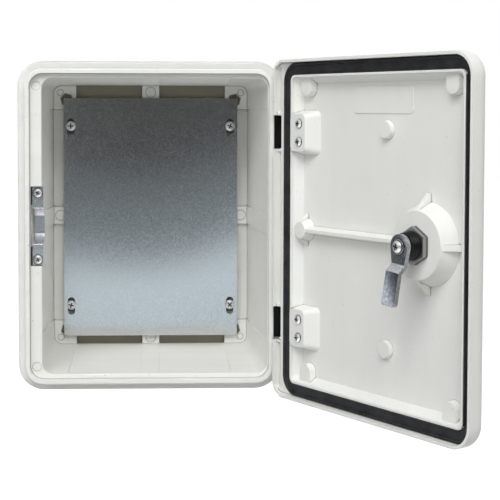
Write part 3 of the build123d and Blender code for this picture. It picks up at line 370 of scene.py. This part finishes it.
def mould_shade(paint, colour, body):
    """Paints shade into creases and narrow rings, and into the body's windows and seats."""
    crease = paint.crease(CREASE_REACH, CREASE_RANGE)
    ring = paint.crease(RING_REACH, RING_RANGE)
    if body:
        crease = off_walls(paint, crease, WALL_CREASE)
        ring = off_walls(paint, ring, WALL_RING)
    # Painted shade: creases and narrow rings darken by how closed in they are.
    colour = paint.between(crease, colour, CREASE_SHADE)
    colour = paint.between(ring, colour, RING_SHADE)
    if body:
        # Painted shade in the floor's windows at its upper and lower end.
        colour = paint.between(window_shade_mask(paint), colour, WINDOW_SHADE)
        # Painted shade under the plate, seen through its slots.
        colour = paint.between(slot_seat_shade_mask(paint), colour, SLOT_SEAT_SHADE)
        # Painted shade in the pocket round the strike plate.
        colour = paint.between(strike_seat_shade_mask(paint), colour, STRIKE_SEAT_SHADE)
    return colour


def moulding(name, grain, strength, body):
    """Warm white moulded plastic with a fine eggshell surface."""
    paint = Paint(name)
    colour = mould_shade(paint, mould_tone(paint, grain, strength), body)
    rough = paint.spread(paint.noise(scale=60.0, detail=3.0), low=0.34, high=0.46)
    normal = paint.bump(paint.noise(scale=1500.0, detail=2.0), strength=0.10, distance=0.0002, edge=0.0007)
    return paint.principled(Base_Color=colour, Roughness=rough, Normal=normal, IOR=1.48)


def galvanised(name):
    """Zinc-coated sheet: fine even grain, faint spangle and a few soft scuffs."""
    paint = Paint(name)
    grain = paint.noise(scale=760.0, detail=4.0)
    colour = paint.between(paint.spread(grain, low=0.0, high=1.0), grey(level=0.59), grey(level=0.73))
    spangle = paint.spread(paint.cells(scale=140.0), low=0.0, high=0.16, start=0.0, end=1.0)
    colour = paint.between(spangle, colour, grey(level=0.57, warmth=-0.03))
    scuff = paint.spread(paint.noise(scale=34.0, detail=5.0), low=0.0, high=0.02, start=0.55, end=0.75)
    rough = paint.math("ADD", paint.spread(grain, low=0.10, high=0.16), scuff)
    normal = paint.bump(grain, strength=0.03, distance=0.00003)
    return paint.principled(Base_Color=colour, Metallic=1.0, Roughness=rough, Normal=normal)


def plated(name, level, warmth, rough_range, mottle, relief):
    """Plated steel hardware with a fine tumbled surface, a mottled tone and painted shade in its recesses.
    """
    paint = Paint(name)
    wear = paint.spread(paint.noise(scale=420.0, detail=4.0), low=0.0, high=1.0)
    colour = paint.between(wear, grey(level * (1 - mottle), warmth), grey(level, warmth))
    # Painted shade: recesses darken towards near black.
    colour = paint.between(paint.crease(RECESS_REACH, RECESS_RANGE), colour, grey(RECESS_SHADE))
    rough = paint.spread(paint.noise(scale=900.0, detail=3.0), *rough_range)
    normal = paint.bump(paint.noise(scale=1800.0, detail=3.0), strength=relief, distance=0.0001, edge=0.0003)
    return paint.principled(Base_Color=colour, Metallic=1.0, Roughness=rough, Normal=normal)


def brass(name):
    """Dull brass with brown tarnish."""
    paint = Paint(name)
    tarnish = paint.spread(paint.noise(scale=500.0, detail=4.0), low=0.0, high=1.0)
    colour = paint.between(tarnish, BRASS_BROWN, BRASS_BARE)
    rough = paint.spread(paint.noise(scale=700.0, detail=3.0), low=0.42, high=0.60)
    normal = paint.bump(paint.noise(scale=1600.0, detail=3.0), strength=0.15, distance=0.0001, edge=0.0003)
    return paint.principled(Base_Color=colour, Metallic=0.85, Roughness=rough, Normal=normal)


def rubber(name):
    """Black foam rubber with a faint bloom."""
    paint = Paint(name)
    bloom = paint.spread(paint.noise(scale=70.0, detail=5.0), low=0.0, high=1.0)
    colour = paint.between(bloom, grey(level=0.014, warmth=-0.10), grey(level=0.036, warmth=-0.10))
    rough = paint.spread(paint.noise(scale=260.0, detail=3.0), low=0.50, high=0.62)
    normal = paint.bump(paint.noise(scale=900.0, detail=4.0), strength=0.30, distance=0.0002, edge=0.0006)
    return paint.principled(Base_Color=colour, Roughness=rough, Normal=normal, Specular_IOR_Level=0.28)


def blackened(name):
    """Black coated metal."""
    paint = Paint(name)
    coat = paint.spread(paint.noise(scale=300.0, detail=4.0), low=0.0, high=1.0)
    colour = paint.between(coat, grey(level=0.002), grey(level=0.006))
    rough = paint.spread(paint.noise(scale=500.0, detail=3.0), low=0.30, high=0.42)
    normal = paint.bump(paint.noise(scale=1400.0, detail=3.0), strength=0.15, distance=0.0001, edge=0.0003)
    return paint.principled(Base_Color=colour, Roughness=rough, Normal=normal, Specular_IOR_Level=0.18)


def dress(nodes, material):
    """Gives each named CAD node one material."""
    for name in nodes:
        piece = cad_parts[name]
        piece.data.materials.clear()
        piece.data.materials.append(material)


def soften(nodes, width, sheet):
    """Rounds the sharp edges of small hardware, and keeps a sheet's flat faces flat."""
    for name in nodes:
        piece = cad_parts[name]
        weld = piece.modifiers.new("weld", "WELD")
        weld.merge_threshold = WELD_GAP
        bevel = piece.modifiers.new("edge", "BEVEL")
        bevel.width = width
        bevel.segments = EDGE_SEGMENTS
        bevel.limit_method = "ANGLE"
        bevel.angle_limit = math.radians(EDGE_ANGLE)
        bevel.harden_normals = not sheet
        if sheet:
            weigh = piece.modifiers.new("flat_faces", "WEIGHTED_NORMAL")
            weigh.mode = "FACE_AREA"
            weigh.weight = FLAT_WEIGHT


def finish_nodes():
    """Dresses every CAD node, and rounds the edges of the small hardware."""
    dress(["body"], moulding("moulding_body", BODY_GRAIN, BODY_STREAK, True))
    dress(["door"], moulding("moulding_door", DOOR_GRAIN, DOOR_STREAK, False))
    dress(["mounting_plate"], galvanised("galvanised_sheet"))
    for name, level, warmth, rough_range, mottle, relief, nodes in PLATED:
        dress(nodes, plated(name, level, warmth, rough_range, mottle, relief))
    dress(BRASS_NODES, brass("insert_brass"))
    dress(RUBBER_NODES, rubber("seal_rubber"))
    dress(BLACK_NODES, blackened("hinge_black"))
    soften(HEAD_NODES, HEAD_EDGE, False)
    soften(SHEET_NODES, SHEET_EDGE, True)


def camera_basis():
    """The camera's axes: right, up and backward."""
    yaw = Matrix.Rotation(math.radians(CAMERA_YAW), 3, "Z")
    pitch = Matrix.Rotation(math.radians(CAMERA_PITCH), 3, "X")
    roll = Matrix.Rotation(math.radians(CAMERA_ROLL), 3, "Y")
    turn = yaw @ pitch @ roll
    right, ahead, up = turn.col[0], turn.col[1], turn.col[2]
    return Matrix((right, up, -ahead)).transposed()


def camera():
    """The camera at the photograph's place."""
    data = bpy.data.cameras.new("camera")
    data.sensor_width = CAMERA_SENSOR
    data.lens = CAMERA_LENS
    data.shift_x, data.shift_y = CAMERA_SHIFT
    eye = bpy.data.objects.new("camera", data)
    bpy.context.scene.collection.objects.link(eye)
    eye.matrix_world = Matrix.Translation(CAMERA_PLACE) @ camera_basis().to_4x4()
    bpy.context.scene.camera = eye


def soft_box(name, place, size, watts, shown):
    """A square area lamp aimed at the object, which polished pieces show only where that is asked."""
    data = bpy.data.lights.new(name, "AREA")
    data.shape = "SQUARE"
    data.size = size
    data.energy = watts
    lamp = bpy.data.objects.new(name, data)
    bpy.context.scene.collection.objects.link(lamp)
    aim = Vector(AIM) - Vector(place)
    lamp.location = place
    lamp.rotation_mode = "QUATERNION"
    lamp.rotation_quaternion = aim.to_track_quat("-Z", "Y")
    lamp.visible_glossy = shown


def sky_level(nodes):
    """The world's strength by direction: even, and dimmer high up behind the object."""
    direction = nodes.node("ShaderNodeTexCoord").outputs["Generated"]
    toward = nodes.node("ShaderNodeVectorMath", {0: direction, 1: DIM_SKY}, operation="DOT_PRODUCT")
    return nodes.spread(toward.outputs["Value"], WORLD_LIGHT, DIM_SKY_LIGHT, *DIM_SKY_RANGE)


def sky():
    """A soft world that looks white and lights at a plain level."""
    world = bpy.data.worlds.new("studio")
    bpy.context.scene.world = world
    world.use_nodes = True
    nodes = Nodes(world.node_tree)
    plain = nodes.node("ShaderNodeBackground", {"Color": WHITE, "Strength": sky_level(nodes)})
    white = nodes.node("ShaderNodeBackground", {"Color": WHITE})
    mixed = nodes.blended(nodes.seen_directly(), plain.outputs[0], white.outputs[0])
    nodes.node("ShaderNodeOutputWorld", {"Surface": mixed})


def upright(low, high):
    """The corners of an upright rectangle between its lowest and its highest corner."""
    return [low, (*high[:2], low[2]), high, (*low[:2], high[2])]


def stage_sheet(name, corners, hidden=()):
    """A flat four-cornered sheet of the studio, hidden from the named kinds of ray."""
    mesh = bpy.data.meshes.new(name)
    mesh.from_pydata(corners, [], [(0, 1, 2, 3)])
    piece = bpy.data.objects.new(name, mesh)
    bpy.context.scene.collection.objects.link(piece)
    for ray in hidden:
        setattr(piece, "visible_" + ray, False)
    return piece


def floor():
    """A pale floor well below the box, white to the eye, that keeps the shadow."""
    half = FLOOR_HALF
    corners = [(x, y, FLOOR_Z) for x, y in ((-half, -half), (half, -half), (half, half), (-half, half))]
    paint = Paint("floor_white")
    quiet = paint.node("ShaderNodeBsdfDiffuse", {"Color": FLOOR_LIT})
    bright = paint.node("ShaderNodeBsdfDiffuse", {"Color": FLOOR_SEEN})
    glow = paint.node("ShaderNodeEmission", {"Strength": FLOOR_GLOW})
    pale = paint.node("ShaderNodeAddShader", {0: bright.outputs[0], 1: glow.outputs[0]})
    mixed = paint.blended(paint.seen_directly(), quiet.outputs[0], pale.outputs[0])
    stage_sheet("floor", corners).data.materials.append(paint.surface(mixed))


def bands(paint, height, glow):
    """A card's colour by height, from rows of height, glow and coolness."""
    low, high = glow[0][0], glow[-1][0]
    ramp = paint.node("ShaderNodeValToRGB", {"Fac": paint.spread(height, 0.0, 1.0, low, high)})
    stops = ramp.color_ramp.elements
    ready = len(stops)
    for index, (place, level, coolness) in enumerate(glow):
        share = (place - low) / (high - low)
        stop = stops[index] if index < ready else stops.new(share)
        stop.position = share
        stop.color = cool(level, coolness)
    return ramp.outputs["Color"]


def card(name, corners, glow, arc=0.0, slant=0.0):
    """A flat card that glows in bands by height, curved or slanted, and that only reflections show."""
    paint = Paint(name)
    x, y, z = paint.axes()
    aside = paint.math("SUBTRACT", x, FRONT_CARD_ARC_X)
    curve = paint.product(aside, aside, arc)
    lean = paint.product(paint.math("SUBTRACT", y, LEFT_CARD_SLANT_Y), slant)
    height = paint.math("SUBTRACT", paint.math("SUBTRACT", z, curve), lean)
    lamp = paint.node("ShaderNodeEmission", {"Color": bands(paint, height, glow)})
    material = paint.surface(lamp.outputs["Emission"])
    stage_sheet(name, upright(*corners), CARD_HIDDEN).data.materials.append(material)


def studio():
    """Camera, lamps, world, floor, cards and flag."""
    bpy.context.scene.view_settings.view_transform = "Standard"
    camera()
    for lamp in LAMPS:
        soft_box(*lamp)
    sky()
    floor()
    card("front_card", FRONT_CARD, FRONT_CARD_GLOW, arc=FRONT_CARD_ARC)
    card("strike_card", STRIKE_CARD, STRIKE_CARD_GLOW)
    card("left_card", LEFT_CARD, LEFT_CARD_GLOW, slant=LEFT_CARD_SLANT)
    stage_sheet("flag", upright(*FLAG), FLAG_HIDDEN)


finish_nodes()
studio()
